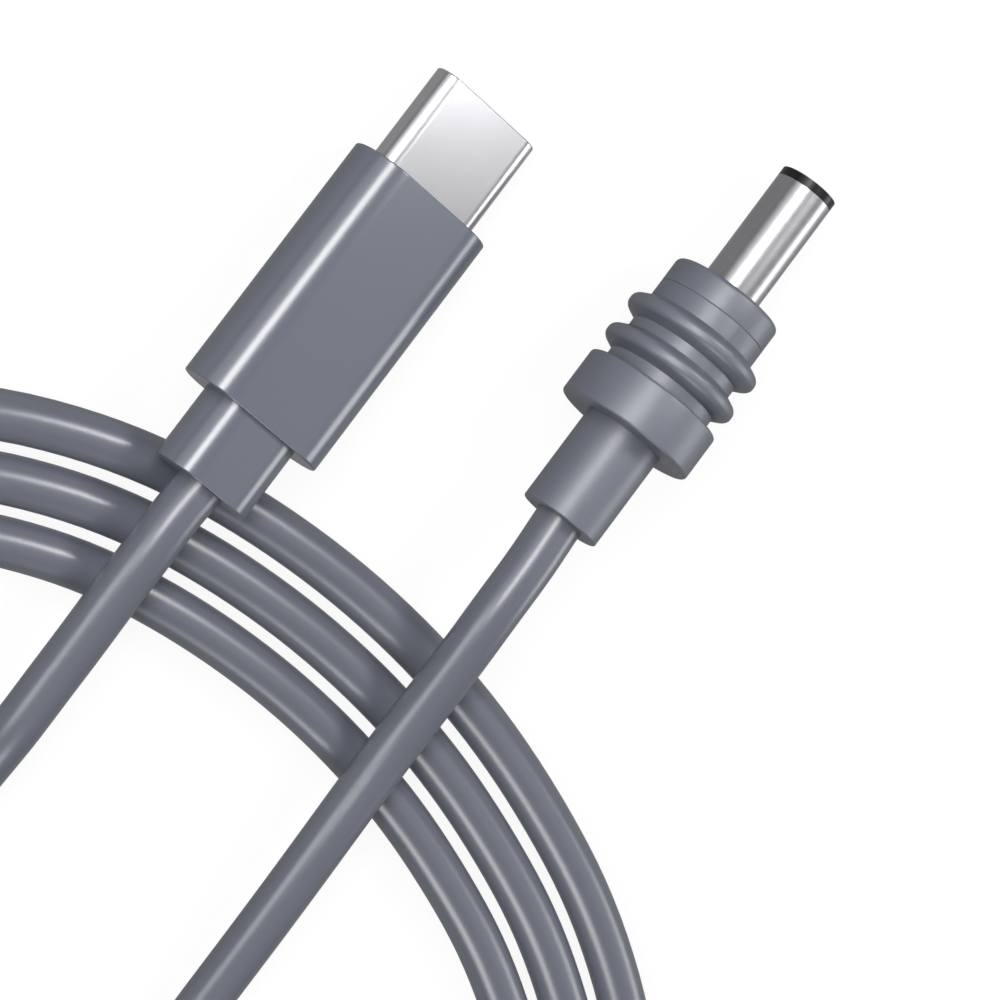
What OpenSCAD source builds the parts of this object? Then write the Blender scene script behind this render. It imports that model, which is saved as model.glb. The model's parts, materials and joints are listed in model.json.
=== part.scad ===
// Power cable with a USB-C plug at one end and a ribbed DC barrel plug at the other.
// Both plugs lie side by side on the floor and point along +X. The slack is wound into a flat oval
// coil behind them, and both leads cross over it.
// Millimetres. The origin is below the middle of the two plugs, on the floor.

/* [Layout] */
// Distance between the axes of the two plugs
plug_spacing = 20; // [16:0.5:40]
// How far the rear of the DC plug lies in front of the rear of the USB plug
plug_stagger = 12.75; // [8:0.25:20]
// Angle by which each plug dips towards its tip
plug_dip = 8; // [6:0.5:9]

/* [USB plug moulding] */
// Length of the cable neck
usb_neck_l = 5.1; // [4:0.1:8]
// Width of the cable neck
usb_neck_w = 7; // [6:0.1:9]
// Thickness of the cable neck
usb_neck_t = 4.6; // [4.2:0.1:5]
// Length of the housing
usb_body_l = 17.5; // [16:0.1:22]
// Width of the housing
usb_body_w = 10.6; // [10:0.1:13]
// Thickness of the housing
usb_body_t = 5.4; // [4.8:0.1:6.5]
// Width of the moulding round the circuit board
usb_core_w = 8.6; // [8.4:0.1:9]
// Thickness of the moulding round the circuit board
usb_core_t = 3.8; // [3.5:0.1:4]

/* [USB plug shell] */
// Width of the steel shell
shell_w = 8.25; // [8:0.05:8.3]
// Thickness of the steel shell
shell_t = 2.4; // [2.3:0.05:2.5]
// Wall of the steel shell
shell_wall = 0.3; // [0.2:0.05:0.35]
// Length of the shell outside the housing
shell_out = 6.8; // [6:0.1:7.5]
// Length of the shell inside the housing
shell_in = 5.2; // [4:0.1:6]

/* [USB plug contacts] */
// How far the contact block stands back from the mouth of the shell
block_setback = 0.6; // [0.3:0.1:1]
// Distance from the shell's rear end to the contact block
block_recess = 0.6; // [0.4:0.1:0.8]
// Width of the mouth in the contact block
mouth_w = 6.8; // [6.6:0.05:6.9]
// Height of the mouth in the contact block
mouth_h = 0.8; // [0.7:0.05:0.85]
// Depth of the mouth in the contact block
mouth_depth = 6.2; // [5.5:0.1:6.5]
// Contacts in each row
contact_count = 12; // [8:1:12]
// Distance from one contact to the next
contact_pitch = 0.5; // [0.45:0.01:0.5]
// Width of a contact
contact_w = 0.25; // [0.2:0.01:0.28]
// Thickness of a contact
contact_t = 0.15; // [0.1:0.01:0.16]
// Length of a contact's tail on the circuit board
contact_tail = 1.2; // [0.8:0.1:1.5]
// How far a contact's spring tip reaches into the mouth
contact_bump = 0.12; // [0.05:0.01:0.2]
// Length of each slope of a contact's spring tip
bump_l = 1; // [0.8:0.1:1.2]
// How far the contacts end behind the front of the contact block
contact_setback = 0.8; // [0.5:0.1:1.2]
// Thickness of the latch plate
latch_t = 0.15; // [0.1:0.01:0.2]
// Width of a latch arm
latch_arm_w = 0.3; // [0.25:0.05:0.4]
// Length of the latch plate
latch_l = 8.8; // [8:0.1:9.2]
// How far the latch arms end behind the front of the contact block
latch_setback = 1; // [0.6:0.1:1.4]
// Thickness of a ground spring
ground_t = 0.1; // [0.06:0.01:0.12]
// Length of a ground spring
ground_l = 3; // [2:0.1:4]
// Width of a ground spring
ground_w = 5.4; // [4:0.1:6]
// How far the ground springs end behind the front of the contact block
ground_setback = 1.2; // [0.8:0.1:2]

/* [USB plug board] */
// Distance from the wires' insulation to the circuit board
pad_gap = 0.6; // [0.2:0.1:1]
// Width of the circuit board
board_w = 7; // [6.6:0.1:7.2]
// Thickness of the circuit board
board_t = 0.8; // [0.6:0.05:0.8]
// Distance from the contacts' tails to the chip and the capacitors
chip_gap = 1; // [0.5:0.1:1.5]
// Side of the power-delivery chip
chip_w = 3; // [2:0.1:3.2]
// Thickness of the power-delivery chip
chip_t = 0.75; // [0.5:0.05:0.9]
// Length of a capacitor
cap_l = 1.6; // [1:0.1:1.6]
// Width and height of a capacitor
cap_w = 0.8; // [0.5:0.05:0.8]
// Number of capacitors
cap_count = 3; // [1:1:4]
// Distance from one capacitor to the next
cap_pitch = 1.4; // [1.2:0.1:1.6]

/* [DC plug moulding] */
// Length of the cable neck
dc_neck_l = 6.8; // [6:0.1:10]
// Diameter of the cable neck
dc_neck_d = 5.5; // [5.4:0.1:7]
// Length of the flange
flange_l = 3.2; // [2.5:0.1:5]
// Diameter of the flange
flange_d = 9.6; // [9:0.1:9.9]
// Rounding of the flange's rims
flange_round = 0.35; // [0.1:0.05:0.6]
// Length of the sealing sleeve
sleeve_l = 6.2; // [5.8:0.1:8]
// Diameter of the sleeve between the ribs
sleeve_d = 7.8; // [7.2:0.1:8.2]
// Wall of the sleeve
sleeve_wall = 0.8; // [0.6:0.05:0.9]
// Length of the nose collar
nose_l = 1.8; // [1.2:0.1:3]
// Rounding of the nose collar's front rim
nose_round = 0.3; // [0.1:0.05:0.6]

/* [DC plug sealing ribs] */
// Number of ribs round the sleeve
rib_count = 2; // [1:1:2]
// Diameter over the ribs
rib_d = 9.7; // [9.2:0.1:10]
// Width of a rib at its foot
rib_w = 2.0; // [1.6:0.1:2.2]
// Width of a rib at its top
rib_top = 0.6; // [0.4:0.1:1]
// Distance from the flange to the middle of the first rib
rib_first = 1.7; // [1.4:0.05:1.8]
// Distance from one rib to the next
rib_pitch = 2.4; // [2.3:0.05:2.6]

/* [DC plug contacts] */
// Outer diameter of the barrel
barrel_d = 4; // [3.8:0.05:4.2]
// Diameter of the barrel's shank inside the nose
shank_d = 4.4; // [4.3:0.05:4.6]
// Wall of the barrel
barrel_wall = 0.3; // [0.2:0.05:0.35]
// Length of bare metal in front of the nose
barrel_out = 8.1; // [7:0.1:10]
// Diameter of the bead at the rear of the barrel
bead_d = 5.2; // [4.8:0.1:5.4]
// Length of the bead at the rear of the barrel
bead_l = 1; // [0.6:0.1:1.4]
// How far the barrel's bead lies in front of the flange's front
bead_setback = 0.6; // [0.5:0.1:1]
// Length of the black ring on the tip
tip_l = 0.6; // [0.4:0.1:1.2]
// Bore of the centre contact
centre_bore = 1.7; // [1.6:0.05:1.75]
// Wall of the centre contact
centre_wall = 0.35; // [0.3:0.05:0.4]
// Length of the centre contact in front of the rear insulator
centre_l = 11.8; // [10:0.1:12.5]
// Depth of the bore in the centre contact
centre_depth = 9.5; // [8:0.1:10]
// Length of the slits in the centre contact
slit_l = 5; // [3:0.1:6]
// Width of the slits in the centre contact
slit_w = 0.25; // [0.15:0.05:0.3]
// Diameter of the centre contact's tail
tail_d = 1.2; // [1:0.05:1.3]
// Length of the rear insulator
insulator_l = 2; // [1.5:0.1:2.5]
// Thickness of the solder tab
tab_t = 0.3; // [0.2:0.05:0.35]
// Width of the solder tab
tab_w = 1.4; // [1:0.1:1.6]
// Gap between the negative conductor and the centre contact's tail
tab_clear = 0.15; // [0.1:0.01:0.2]
// Diameter of the hole in the solder tab's washer
washer_bore = 2.2; // [2:0.1:2.4]
// Diameter of the moulding round the wire ends
dc_core_d = 4.4; // [4.2:0.1:4.6]

/* [Cable] */
// Diameter of the cable
cable_d = 3.2; // [2.8:0.05:3.3]
// How far the cable reaches past the front of the USB plug's neck
usb_jacket_past = 0.6; // [0.3:0.1:1]
// How far the cable ends behind the DC plug's flange
dc_jacket_short = 1.6; // [1.2:0.1:2]
// Distance between the axes of the two wires
wire_pitch = 1.5; // [1.3:0.1:1.8]
// Diameter of a wire over its insulation
wire_d = 1.1; // [0.9:0.05:1.2]
// Diameter of a bare conductor
conductor_d = 0.6; // [0.4:0.05:0.6]
// Length of insulation beyond the jacket
wire_l = 1.6; // [1:0.1:1.8]
// Length of bare conductor beyond the insulation
conductor_l = 2.2; // [1.6:0.1:2.4]
// Distance between one turn of the coil and the next
coil_pitch = 3.9; // [3.7:0.1:4]

/* [Fits] */
// Gap between a moulding and what it is moulded round
mould_gap = 0.02; // [0.01:0.01:0.05]
// Gap round an assembled metal or plastic piece
seat_gap = 0.04; // [0.02:0.01:0.06]

/* [Hidden] */
$fn = 96;
grain = 0.01;

// Distances along the USB plug from the rear of its neck
usb_jacket_end = usb_neck_l + usb_jacket_past;
usb_front = usb_neck_l + usb_body_l;
shell_front = usb_front + shell_out;
shell_rear = usb_front - shell_in;
block_front = shell_front - block_setback;
block_rear = shell_rear + block_recess;
board_front = block_rear - seat_gap;
board_rear = usb_jacket_end + wire_l + pad_gap;
board_l = board_front - board_rear;
tails_rear = board_front - contact_tail;

// Sections inside the USB shell
shell_inner_w = shell_w - 2 * shell_wall;
shell_inner_t = shell_t - 2 * shell_wall;
block_w = shell_inner_w - 2 * seat_gap;
block_t = shell_inner_t - 2 * seat_gap;
contact_z = board_t / 2;
contact_tip = block_front - contact_setback;
groove_w = contact_w + 2 * seat_gap;
ground_x = block_front - ground_setback - ground_l;
latch_x = block_front - latch_setback - latch_l;
usb_wire_z = board_t / 2 + conductor_d / 2;

// Distances along the DC plug from the rear of its neck
dc_jacket_end = dc_neck_l - dc_jacket_short;
flange_front = dc_neck_l + flange_l;
sleeve_front = flange_front + sleeve_l;
nose_front = sleeve_front + nose_l;
metal_front = nose_front + barrel_out;
dc_len = metal_front + tip_l;
barrel_rear = flange_front + bead_setback;
bead_front = barrel_rear + bead_l;
washer_rear = barrel_rear - tab_t;
insulator_front = barrel_rear + insulator_l;
centre_front = insulator_front + centre_l;
solder_rear = dc_jacket_end + wire_l + conductor_l / 2;

// Diameters inside the DC plug
core_d = sleeve_d - 2 * sleeve_wall;
barrel_id = barrel_d - 2 * barrel_wall;
liner_d = barrel_id - 2 * seat_gap;
centre_d = centre_bore + 2 * centre_wall;
bead_cavity_d = bead_d + 2 * mould_gap;
dc_positive_z = tail_d / 2 + conductor_d / 2;
tab_top = -tail_d / 2 - tab_clear - conductor_d;
dc_negative_z = tab_top + conductor_d / 2;

// The plug lies on the front edge of its foremost rib
rib_low_x = flange_front + rib_first + (rib_count - 1) * rib_pitch + rib_top / 2;

// Places of the plugs, with the origin below their middle
dip_sin = sin(plug_dip);
dip_cos = cos(plug_dip);
plugs_l = plug_stagger + dc_len * dip_cos + (barrel_d / 2 + usb_neck_t / 2) * dip_sin;
usb_place = [
    usb_neck_t / 2 * dip_sin - plugs_l / 2,
    (plug_spacing + max(flange_d, rib_d) / 2 - usb_body_w / 2) / 2,
    usb_body_t / 2 * dip_cos + usb_front * dip_sin
];
dc_place = [
    usb_place[0] + plug_stagger,
    usb_place[1] - plug_spacing,
    rib_d / 2 * dip_cos + rib_low_x * dip_sin
];

// Coil: a flat spiral that runs clockwise outwards, with the points of its inner turn
coil_loop = [
    [-27.1, -14.5], [-28.2, -19.4], [-29.7, -24.3], [-31.5, -29], [-33.8, -33.5], [-36.6, -37.7],
    [-40.3, -41.1], [-44.8, -43.3], [-49.8, -44.1], [-54.8, -43.4], [-59.4, -41.4], [-63.2, -38.1],
    [-66, -33.8], [-67.3, -29], [-67.3, -24], [-66.4, -19], [-65.5, -14], [-64.6, -9],
    [-63.7, -4], [-62.8, 0.9], [-61.9, 5.9], [-61, 10.9], [-59.9, 15.8], [-57.6, 20.3],
    [-54, 23.8], [-49.5, 26.1], [-44.5, 26.8], [-39.5, 25.9], [-35.1, 23.5], [-31.6, 19.9],
    [-29.3, 15.4], [-27.7, 10.6], [-26.7, 5.6], [-26.2, 0.6], [-26.1, -4.4], [-26.4, -9.5]
];
coil_steps = len(coil_loop);
coil_start = -9;
coil_end = 77;
cable_z = cable_d / 2;

// Points of the two uncoiled stretches between the plugs and the coil
usb_route = [
    [-21.7, 9.85, 6], [-24.2, 9.65, 5.95], [-27.2, 9.3, 5.6], [-31.2, 8.7, 5], [-35.2, 8.1, 4.3],
    [-38.6, 7.55, 3.6], [-42, 6.9, 2.4], [-45.6, 6.5, 1.7], [-49.5, 7.3, 1.6], [-52.8, 9.8, 1.6],
    [-54.8, 13.5, 1.6], [-55, 17.6, 1.6], [-53.3, 21.4, 1.6], [-50.2, 24.1, 1.6], [-46.2, 25.4, 1.6]
];
dc_route = [
    [-9.7, -10.45, 7.12], [-13.2, -10.75, 7.15], [-17.2, -11.4, 6.6], [-21.2, -12.1, 5.8],
    [-25.2, -12.7, 5.2], [-29.2, -13.2, 4.9], [-36.2, -14.2, 4.2], [-43.6, -15.4, 3],
    [-50, -16.5, 2.2], [-55.6, -18, 2.6], [-60.8, -21, 3.8], [-64.8, -25.6, 4.8],
    [-66.8, -31.4, 5], [-66.4, -37.6, 5], [-63.6, -43.6, 5], [-58.8, -48.4, 5],
    [-52.6, -51.6, 4.95], [-46.2, -52.6, 3.9], [-40.2, -51, 2.5], [-35, -47.8, 1.8]
];
tube_sides = 8;

// Colours of the materials
moulding_grey = "#757984";
cable_grey = "#6f727d";
steel = "#d2d2d4";
black_plastic = "#1e2024";
gold = "#d8b25a";
board_green = "#2c5a3c";
copper = "#c07a4a";
natural_mould = "#d9d5c8";

// Shapes along the X axis

module along(x0, x1) {
    translate([x0, 0, 0])
        rotate([90, 0, 90])
            linear_extrude(x1 - x0) children();
}

module rod(x0, x1, d) {
    translate([x0, 0, 0])
        rotate([0, 90, 0])
            cylinder(d = d, h = x1 - x0);
}

module turned(profile) {
    rotate([0, 90, 0])
        rotate_extrude() polygon([for (p = profile) [p[1], p[0]]]);
}

module stadium(w, t) {
    square([w - t, t], center = true);
    for (side = [-1, 1])
        translate([side * (w - t) / 2, 0]) circle(d = t);
}

module usb_plug() {
    translate(usb_place) rotate([0, plug_dip, 0]) children();
}

module dc_plug() {
    translate(dc_place) rotate([0, plug_dip, 0]) children();
}

// USB plug, in its own frame: X from the rear of the neck to the tip

module usb_overmould() color(moulding_grey) usb_plug() difference() {
    union() {
        along(0, usb_neck_l + grain) stadium(usb_neck_w, usb_neck_t);
        along(usb_neck_l, usb_front) stadium(usb_body_w, usb_body_t);
    }
    rod(-1, usb_jacket_end, cable_d + 2 * mould_gap);
    along(usb_jacket_end - mould_gap, shell_rear + mould_gap)
        stadium(usb_core_w + 2 * mould_gap, usb_core_t + 2 * mould_gap);
    along(shell_rear, usb_front + 1) stadium(shell_w + 2 * mould_gap, shell_t + 2 * mould_gap);
}

module usb_shell() color(steel) usb_plug() difference() {
    along(shell_rear, shell_front) stadium(shell_w, shell_t);
    along(shell_rear - 1, shell_front + 1) stadium(shell_inner_w, shell_inner_t);
}

module contact_grooves() {
    for (i = [0 : contact_count - 1])
        translate([(i - (contact_count - 1) / 2) * contact_pitch - groove_w / 2, contact_z - seat_gap])
            square([groove_w, contact_t + 2 * seat_gap]);
}

module latch_outline(gap) {
    arm_y = mouth_w / 2 - seat_gap;
    bar_l = latch_l + latch_setback - mouth_depth;
    translate([latch_x - gap, -arm_y - gap]) square([bar_l + 2 * gap, 2 * (arm_y + gap)]);
    for (side = [-1, 1])
        translate([latch_x - gap, side * (arm_y - latch_arm_w / 2) - latch_arm_w / 2 - gap])
            square([latch_l + 2 * gap, latch_arm_w + 2 * gap]);
}

module usb_contact_block() color(black_plastic) usb_plug() difference() {
    along(block_rear, block_front) stadium(block_w, block_t);
    along(block_front - mouth_depth, block_front + 1) square([mouth_w, mouth_h], center = true);
    for (face = [0, 1])
        mirror([0, 0, face]) {
            along(block_rear - 1, contact_tip + seat_gap) contact_grooves();
            translate([ground_x - seat_gap, -ground_w / 2 - seat_gap, block_t / 2 - ground_t])
                cube([ground_l + 2 * seat_gap, ground_w + 2 * seat_gap, 1]);
        }
    translate([0, 0, -latch_t / 2 - seat_gap])
        linear_extrude(latch_t + 2 * seat_gap) latch_outline(seat_gap);
}

module contact_row() {
    bump_x = contact_tip - bump_l;
    strip = [
        [tails_rear, contact_z], [bump_x - bump_l, contact_z], [bump_x, contact_z - contact_bump],
        [bump_x + bump_l / 2, contact_z - contact_bump], [contact_tip, contact_z],
        [contact_tip, contact_z + contact_t], [bump_x + bump_l / 2, contact_z + contact_t - contact_bump],
        [bump_x, contact_z + contact_t - contact_bump], [bump_x - bump_l, contact_z + contact_t],
        [tails_rear, contact_z + contact_t]
    ];
    for (i = [0 : contact_count - 1])
        translate([0, (i - (contact_count - 1) / 2) * contact_pitch + contact_w / 2, 0])
            rotate([90, 0, 0]) linear_extrude(contact_w) polygon(strip);
}

module usb_upper_contacts() color(gold) usb_plug() contact_row();

module usb_lower_contacts() color(gold) usb_plug() mirror([0, 0, 1]) contact_row();

module usb_latch_plate() color(steel) usb_plug() {
    translate([0, 0, -latch_t / 2]) linear_extrude(latch_t) latch_outline(0);
}

module usb_ground_springs() color(steel) usb_plug() {
    for (face = [0, 1])
        mirror([0, 0, face])
            translate([ground_x, -ground_w / 2, block_t / 2 - ground_t])
                cube([ground_l, ground_w, ground_t]);
}

module usb_board() color(board_green) usb_plug() {
    translate([board_rear, -board_w / 2, -board_t / 2]) cube([board_l, board_w, board_t]);
}

module chip_box(gap) {
    chip_x = tails_rear - chip_gap - chip_w;
    translate([chip_x - gap, -chip_w / 2 - gap, board_t / 2])
        cube([chip_w + 2 * gap, chip_w + 2 * gap, chip_t + gap]);
}

module usb_pd_chip() color(black_plastic) usb_plug() chip_box(0);

module capacitor_boxes(gap) {
    cap_x = tails_rear - chip_gap - cap_l;
    for (i = [0 : cap_count - 1])
        translate([
            cap_x - gap,
            (i - (cap_count - 1) / 2) * cap_pitch - cap_w / 2 - gap,
            -board_t / 2 - cap_w - gap
        ])
            cube([cap_l + 2 * gap, cap_w + 2 * gap, cap_w + gap]);
}

module usb_capacitors() color(copper) usb_plug() capacitor_boxes(0);

// A wire end: insulation from x0, then a bare conductor
module wire_end_piece(x0, gap) {
    rod(x0 - gap, x0 + wire_l + gap, wire_d + 2 * gap);
    rod(x0, x0 + wire_l + conductor_l + gap, conductor_d + 2 * gap);
}

module usb_positive_wire() color("#b03030") usb_plug() {
    translate([0, wire_pitch / 2, usb_wire_z]) wire_end_piece(usb_jacket_end, 0);
}

module usb_negative_wire() color("#202024") usb_plug() {
    translate([0, -wire_pitch / 2, usb_wire_z]) wire_end_piece(usb_jacket_end, 0);
}

module usb_inner_mould() color(natural_mould) usb_plug() difference() {
    along(usb_jacket_end, shell_rear) stadium(usb_core_w, usb_core_t);
    translate([board_rear - mould_gap, -board_w / 2 - mould_gap, -board_t / 2 - mould_gap])
        cube([board_l + 1, board_w + 2 * mould_gap, board_t + 2 * mould_gap]);
    chip_box(mould_gap);
    capacitor_boxes(mould_gap);
    for (side = [-1, 1])
        translate([0, side * wire_pitch / 2, usb_wire_z])
            wire_end_piece(usb_jacket_end, mould_gap);
    contacts_w = contact_count * contact_pitch;
    contacts_z = board_t / 2 + contact_t + mould_gap;
    translate([tails_rear - mould_gap, -contacts_w / 2, -contacts_z])
        cube([contact_tail + 1, contacts_w, 2 * contacts_z]);
}

// DC plug, in its own frame: X from the rear of the neck to the tip

module dc_body() color(moulding_grey) dc_plug() difference() {
    turned([
        [0, 0], [0, dc_neck_d / 2], [dc_neck_l, dc_neck_d / 2],
        [dc_neck_l, flange_d / 2 - flange_round], [dc_neck_l + flange_round, flange_d / 2],
        [flange_front - flange_round, flange_d / 2], [flange_front, flange_d / 2 - flange_round],
        [flange_front, core_d / 2], [sleeve_front, core_d / 2], [sleeve_front, sleeve_d / 2],
        [nose_front - nose_round, sleeve_d / 2], [nose_front, sleeve_d / 2 - nose_round], [nose_front, 0]
    ]);
    rod(-1, dc_jacket_end + grain, cable_d + 2 * mould_gap);
    rod(dc_jacket_end - mould_gap, washer_rear + grain, dc_core_d + 2 * mould_gap);
    rod(washer_rear - mould_gap, bead_front + mould_gap, bead_cavity_d);
    rod(bead_front, nose_front + 1, max(shank_d, barrel_d) + 2 * mould_gap);
}

// Outline of one rib, from its rear foot over the top to its front foot
function rib_outline(middle) = [
    [middle - rib_w / 2, sleeve_d / 2], [middle - rib_top / 2, rib_d / 2],
    [middle + rib_top / 2, rib_d / 2], [middle + rib_w / 2, sleeve_d / 2]
];

module dc_seal_sleeve() color(moulding_grey) dc_plug() difference() {
    turned(concat(
        [[flange_front, 0], [flange_front, sleeve_d / 2]],
        [
            for (i = [0 : rib_count - 1])
                for (p = rib_outline(flange_front + rib_first + i * rib_pitch))
                    p
        ],
        [[sleeve_front, sleeve_d / 2], [sleeve_front, 0]]
    ));
    rod(flange_front - 1, sleeve_front + 1, core_d + 2 * mould_gap);
}

module dc_barrel() color(steel) dc_plug() difference() {
    union() {
        rod(barrel_rear, bead_front, bead_d);
        rod(barrel_rear, nose_front, shank_d);
        rod(barrel_rear, metal_front, barrel_d);
    }
    rod(barrel_rear - 1, metal_front + 1, barrel_id);
}

module dc_tip_insulator() color(black_plastic) dc_plug() difference() {
    union() {
        rod(insulator_front, metal_front + grain, liner_d);
        rod(metal_front, dc_len, barrel_d);
    }
    rod(insulator_front - 1, centre_front + seat_gap, centre_d + 2 * seat_gap);
    rod(centre_front, dc_len + 1, centre_bore);
}

module dc_centre_contact() color(gold) dc_plug() difference() {
    union() {
        rod(solder_rear, insulator_front + grain, tail_d);
        rod(insulator_front, centre_front, centre_d);
    }
    rod(centre_front - centre_depth, centre_front + 1, centre_bore);
    for (turn = [0, 90])
        rotate([turn, 0, 0])
            translate([centre_front - slit_l, -slit_w / 2, -centre_d])
                cube([slit_l + 1, slit_w, 2 * centre_d]);
}

module dc_rear_insulator() color(natural_mould) dc_plug() difference() {
    rod(barrel_rear, insulator_front, liner_d);
    rod(barrel_rear - 1, insulator_front + 1, tail_d + 2 * seat_gap);
}

module tab_box(gap) {
    translate([solder_rear - gap, -tab_w / 2 - gap, tab_top - tab_t - gap])
        cube([barrel_rear - solder_rear + gap, tab_w + 2 * gap, tab_t + 2 * gap]);
}

module dc_sleeve_tab() color(copper) dc_plug() {
    difference() {
        rod(washer_rear, barrel_rear, bead_d);
        rod(washer_rear - 1, barrel_rear + 1, washer_bore);
    }
    tab_box(0);
}

module dc_positive_wire() color("#b03030") dc_plug() {
    translate([0, 0, dc_positive_z]) wire_end_piece(dc_jacket_end, 0);
}

module dc_negative_wire() color("#202024") dc_plug() {
    translate([0, 0, dc_negative_z]) wire_end_piece(dc_jacket_end, 0);
}

module dc_inner_mould() color(natural_mould) dc_plug() difference() {
    rod(dc_jacket_end, washer_rear, dc_core_d);
    rod(solder_rear - mould_gap, barrel_rear, tail_d + 2 * mould_gap);
    tab_box(mould_gap);
    for (z = [dc_positive_z, dc_negative_z])
        translate([0, 0, z]) wire_end_piece(dc_jacket_end, mould_gap);
}

// Cable

// Place along a plug's axis, seen from the floor's frame
function on_axis(place, x) = place + x * [dip_cos, 0, -dip_sin];

function unit(v) = v / norm(v);

function loop_spot(k) = coil_loop[(k % coil_steps + coil_steps) % coil_steps];

// Place on the coil's spiral, shifted outwards across it
function coil_point(k, shift) =
    let (
        ahead = unit(loop_spot(k + 1) - loop_spot(k - 1)),
        grow = coil_pitch * k / coil_steps + shift,
        spot = loop_spot(k) + grow * [-ahead[1], ahead[0]]
    )
    [spot[0], spot[1], cable_z];

function flat(p) = [p[0], p[1]];

// Direction square to the coil's end faces
function coil_ahead(k) =
    let (out = unit(coil_point(k, 1) - coil_point(k, 0)))
    [out[1], -out[0], 0];

// A round tube of flat sides along a list of points, with given directions at its two ends
module tube(points, first_way, last_way) {
    n = len(points);
    ways = [
        for (i = [0 : n - 1])
            i == 0 ? first_way : i == n - 1 ? last_way : unit(points[i + 1] - points[i - 1])
    ];
    rings = [
        for (i = [0 : n - 1])
            let (side = unit(cross([0, 0, 1], ways[i])), up = cross(ways[i], side))
            for (k = [0 : tube_sides - 1])
                let (angle = 360 * k / tube_sides)
                points[i] + cable_d / 2 * (cos(angle) * side + sin(angle) * up)
    ];
    sides = [
        for (i = [0 : n - 2])
            for (k = [0 : tube_sides - 1])
                let (a = i * tube_sides + k, b = i * tube_sides + (k + 1) % tube_sides)
                [a, a + tube_sides, b + tube_sides, b]
    ];
    first = [for (k = [0 : tube_sides - 1]) k];
    last = [for (k = [0 : tube_sides - 1]) n * tube_sides - 1 - k];
    polyhedron(rings, concat([first], sides, [last]));
}

module usb_lead() color(cable_grey) {
    way = [-dip_cos, 0, dip_sin];
    tube(
        concat(
            [on_axis(usb_place, usb_jacket_end - mould_gap), on_axis(usb_place, 0)],
            usb_route,
            [coil_point(coil_start, 0)]
        ),
        way,
        coil_ahead(coil_start)
    );
}

module dc_lead() color(cable_grey) {
    way = [-dip_cos, 0, dip_sin];
    tube(
        concat(
            [on_axis(dc_place, dc_jacket_end - mould_gap), on_axis(dc_place, 0)],
            dc_route,
            [coil_point(coil_end, 0)]
        ),
        way,
        -coil_ahead(coil_end)
    );
}

module cable_coil() color(cable_grey) {
    turn = [0 : coil_steps];
    outer = [for (i = turn) flat(coil_point(coil_end - coil_steps + i, cable_d / 2))];
    inner = [for (i = turn) flat(coil_point(coil_start + i, -cable_d / 2))];
    linear_extrude(cable_d) difference() {
        polygon(outer);
        polygon(inner);
    }
}

usb_overmould();
usb_shell();
usb_contact_block();
usb_upper_contacts();
usb_lower_contacts();
usb_latch_plate();
usb_ground_springs();
usb_board();
usb_pd_chip();
usb_capacitors();
usb_positive_wire();
usb_negative_wire();
usb_inner_mould();
dc_body();
dc_seal_sleeve();
dc_barrel();
dc_tip_insulator();
dc_centre_contact();
dc_rear_insulator();
dc_sleeve_tab();
dc_positive_wire();
dc_negative_wire();
dc_inner_mould();
usb_lead();
cable_coil();
dc_lead();
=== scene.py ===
"""Finished look of the USB-C to DC cable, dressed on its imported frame.

The two plugs lie on a pale floor and point along +X. The cable leaves the USB plug, runs over the
flat coil behind the plugs, winds through it and comes back over it into the DC plug.
"""

from __future__ import annotations

import json
import logging
import math
from collections.abc import Iterable, Sequence
from dataclasses import dataclass
from enum import Enum
from typing import Any

import bmesh
import bpy
from mathutils import Matrix, Vector

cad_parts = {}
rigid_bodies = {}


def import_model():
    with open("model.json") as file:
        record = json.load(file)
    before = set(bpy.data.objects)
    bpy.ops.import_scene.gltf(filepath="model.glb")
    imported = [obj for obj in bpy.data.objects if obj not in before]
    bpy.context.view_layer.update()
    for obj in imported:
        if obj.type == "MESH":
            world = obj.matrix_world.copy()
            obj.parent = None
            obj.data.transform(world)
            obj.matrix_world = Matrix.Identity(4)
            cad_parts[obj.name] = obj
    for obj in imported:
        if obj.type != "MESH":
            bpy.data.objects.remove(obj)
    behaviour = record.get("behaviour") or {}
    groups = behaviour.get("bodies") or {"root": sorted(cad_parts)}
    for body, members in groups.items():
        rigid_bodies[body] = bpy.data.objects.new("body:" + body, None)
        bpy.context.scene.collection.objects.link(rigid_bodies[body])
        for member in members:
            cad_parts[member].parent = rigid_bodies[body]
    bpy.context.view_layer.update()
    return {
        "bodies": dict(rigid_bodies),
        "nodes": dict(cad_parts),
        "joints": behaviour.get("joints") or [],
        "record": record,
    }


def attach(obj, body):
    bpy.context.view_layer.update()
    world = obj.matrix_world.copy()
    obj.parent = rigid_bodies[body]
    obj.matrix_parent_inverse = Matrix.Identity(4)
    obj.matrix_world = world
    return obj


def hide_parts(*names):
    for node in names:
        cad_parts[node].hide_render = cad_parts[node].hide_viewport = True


LOG = logging.getLogger("usb_c_dc_cable")

MM = 0.001
BODY = "root"

# Points closer than this are one point, in metres
MERGE_DISTANCE = 1e-7
# Range of a noise texture's values that a surface uses
NOISE_LOW = 0.3
NOISE_HIGH = 0.7
# Size of the soft clouds of colour in a moulded or plated surface, in millimetres
CLOUD_MM = 4
# How much longer than wide drawn and turned lines are
DRAWN_STRETCH = 40
TURNED_STRETCH = 30

Ring = tuple[float, float, float]
Point = tuple[float, float, float]


def linear(hex_colour: str) -> tuple[float, float, float, float]:
    """Turns an sRGB hex colour into linear RGBA.

    Args:
        hex_colour: Six hex digits after a hash.

    Returns:
        Linear red, green, blue and an alpha of 1.
    """
    parts = [int(hex_colour[i : i + 2], 16) / 255 for i in (1, 3, 5)]
    flat = [c / 12.92 if c <= 0.04045 else ((c + 0.055) / 1.055) ** 2.4 for c in parts]
    return flat[0], flat[1], flat[2], 1.0


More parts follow.
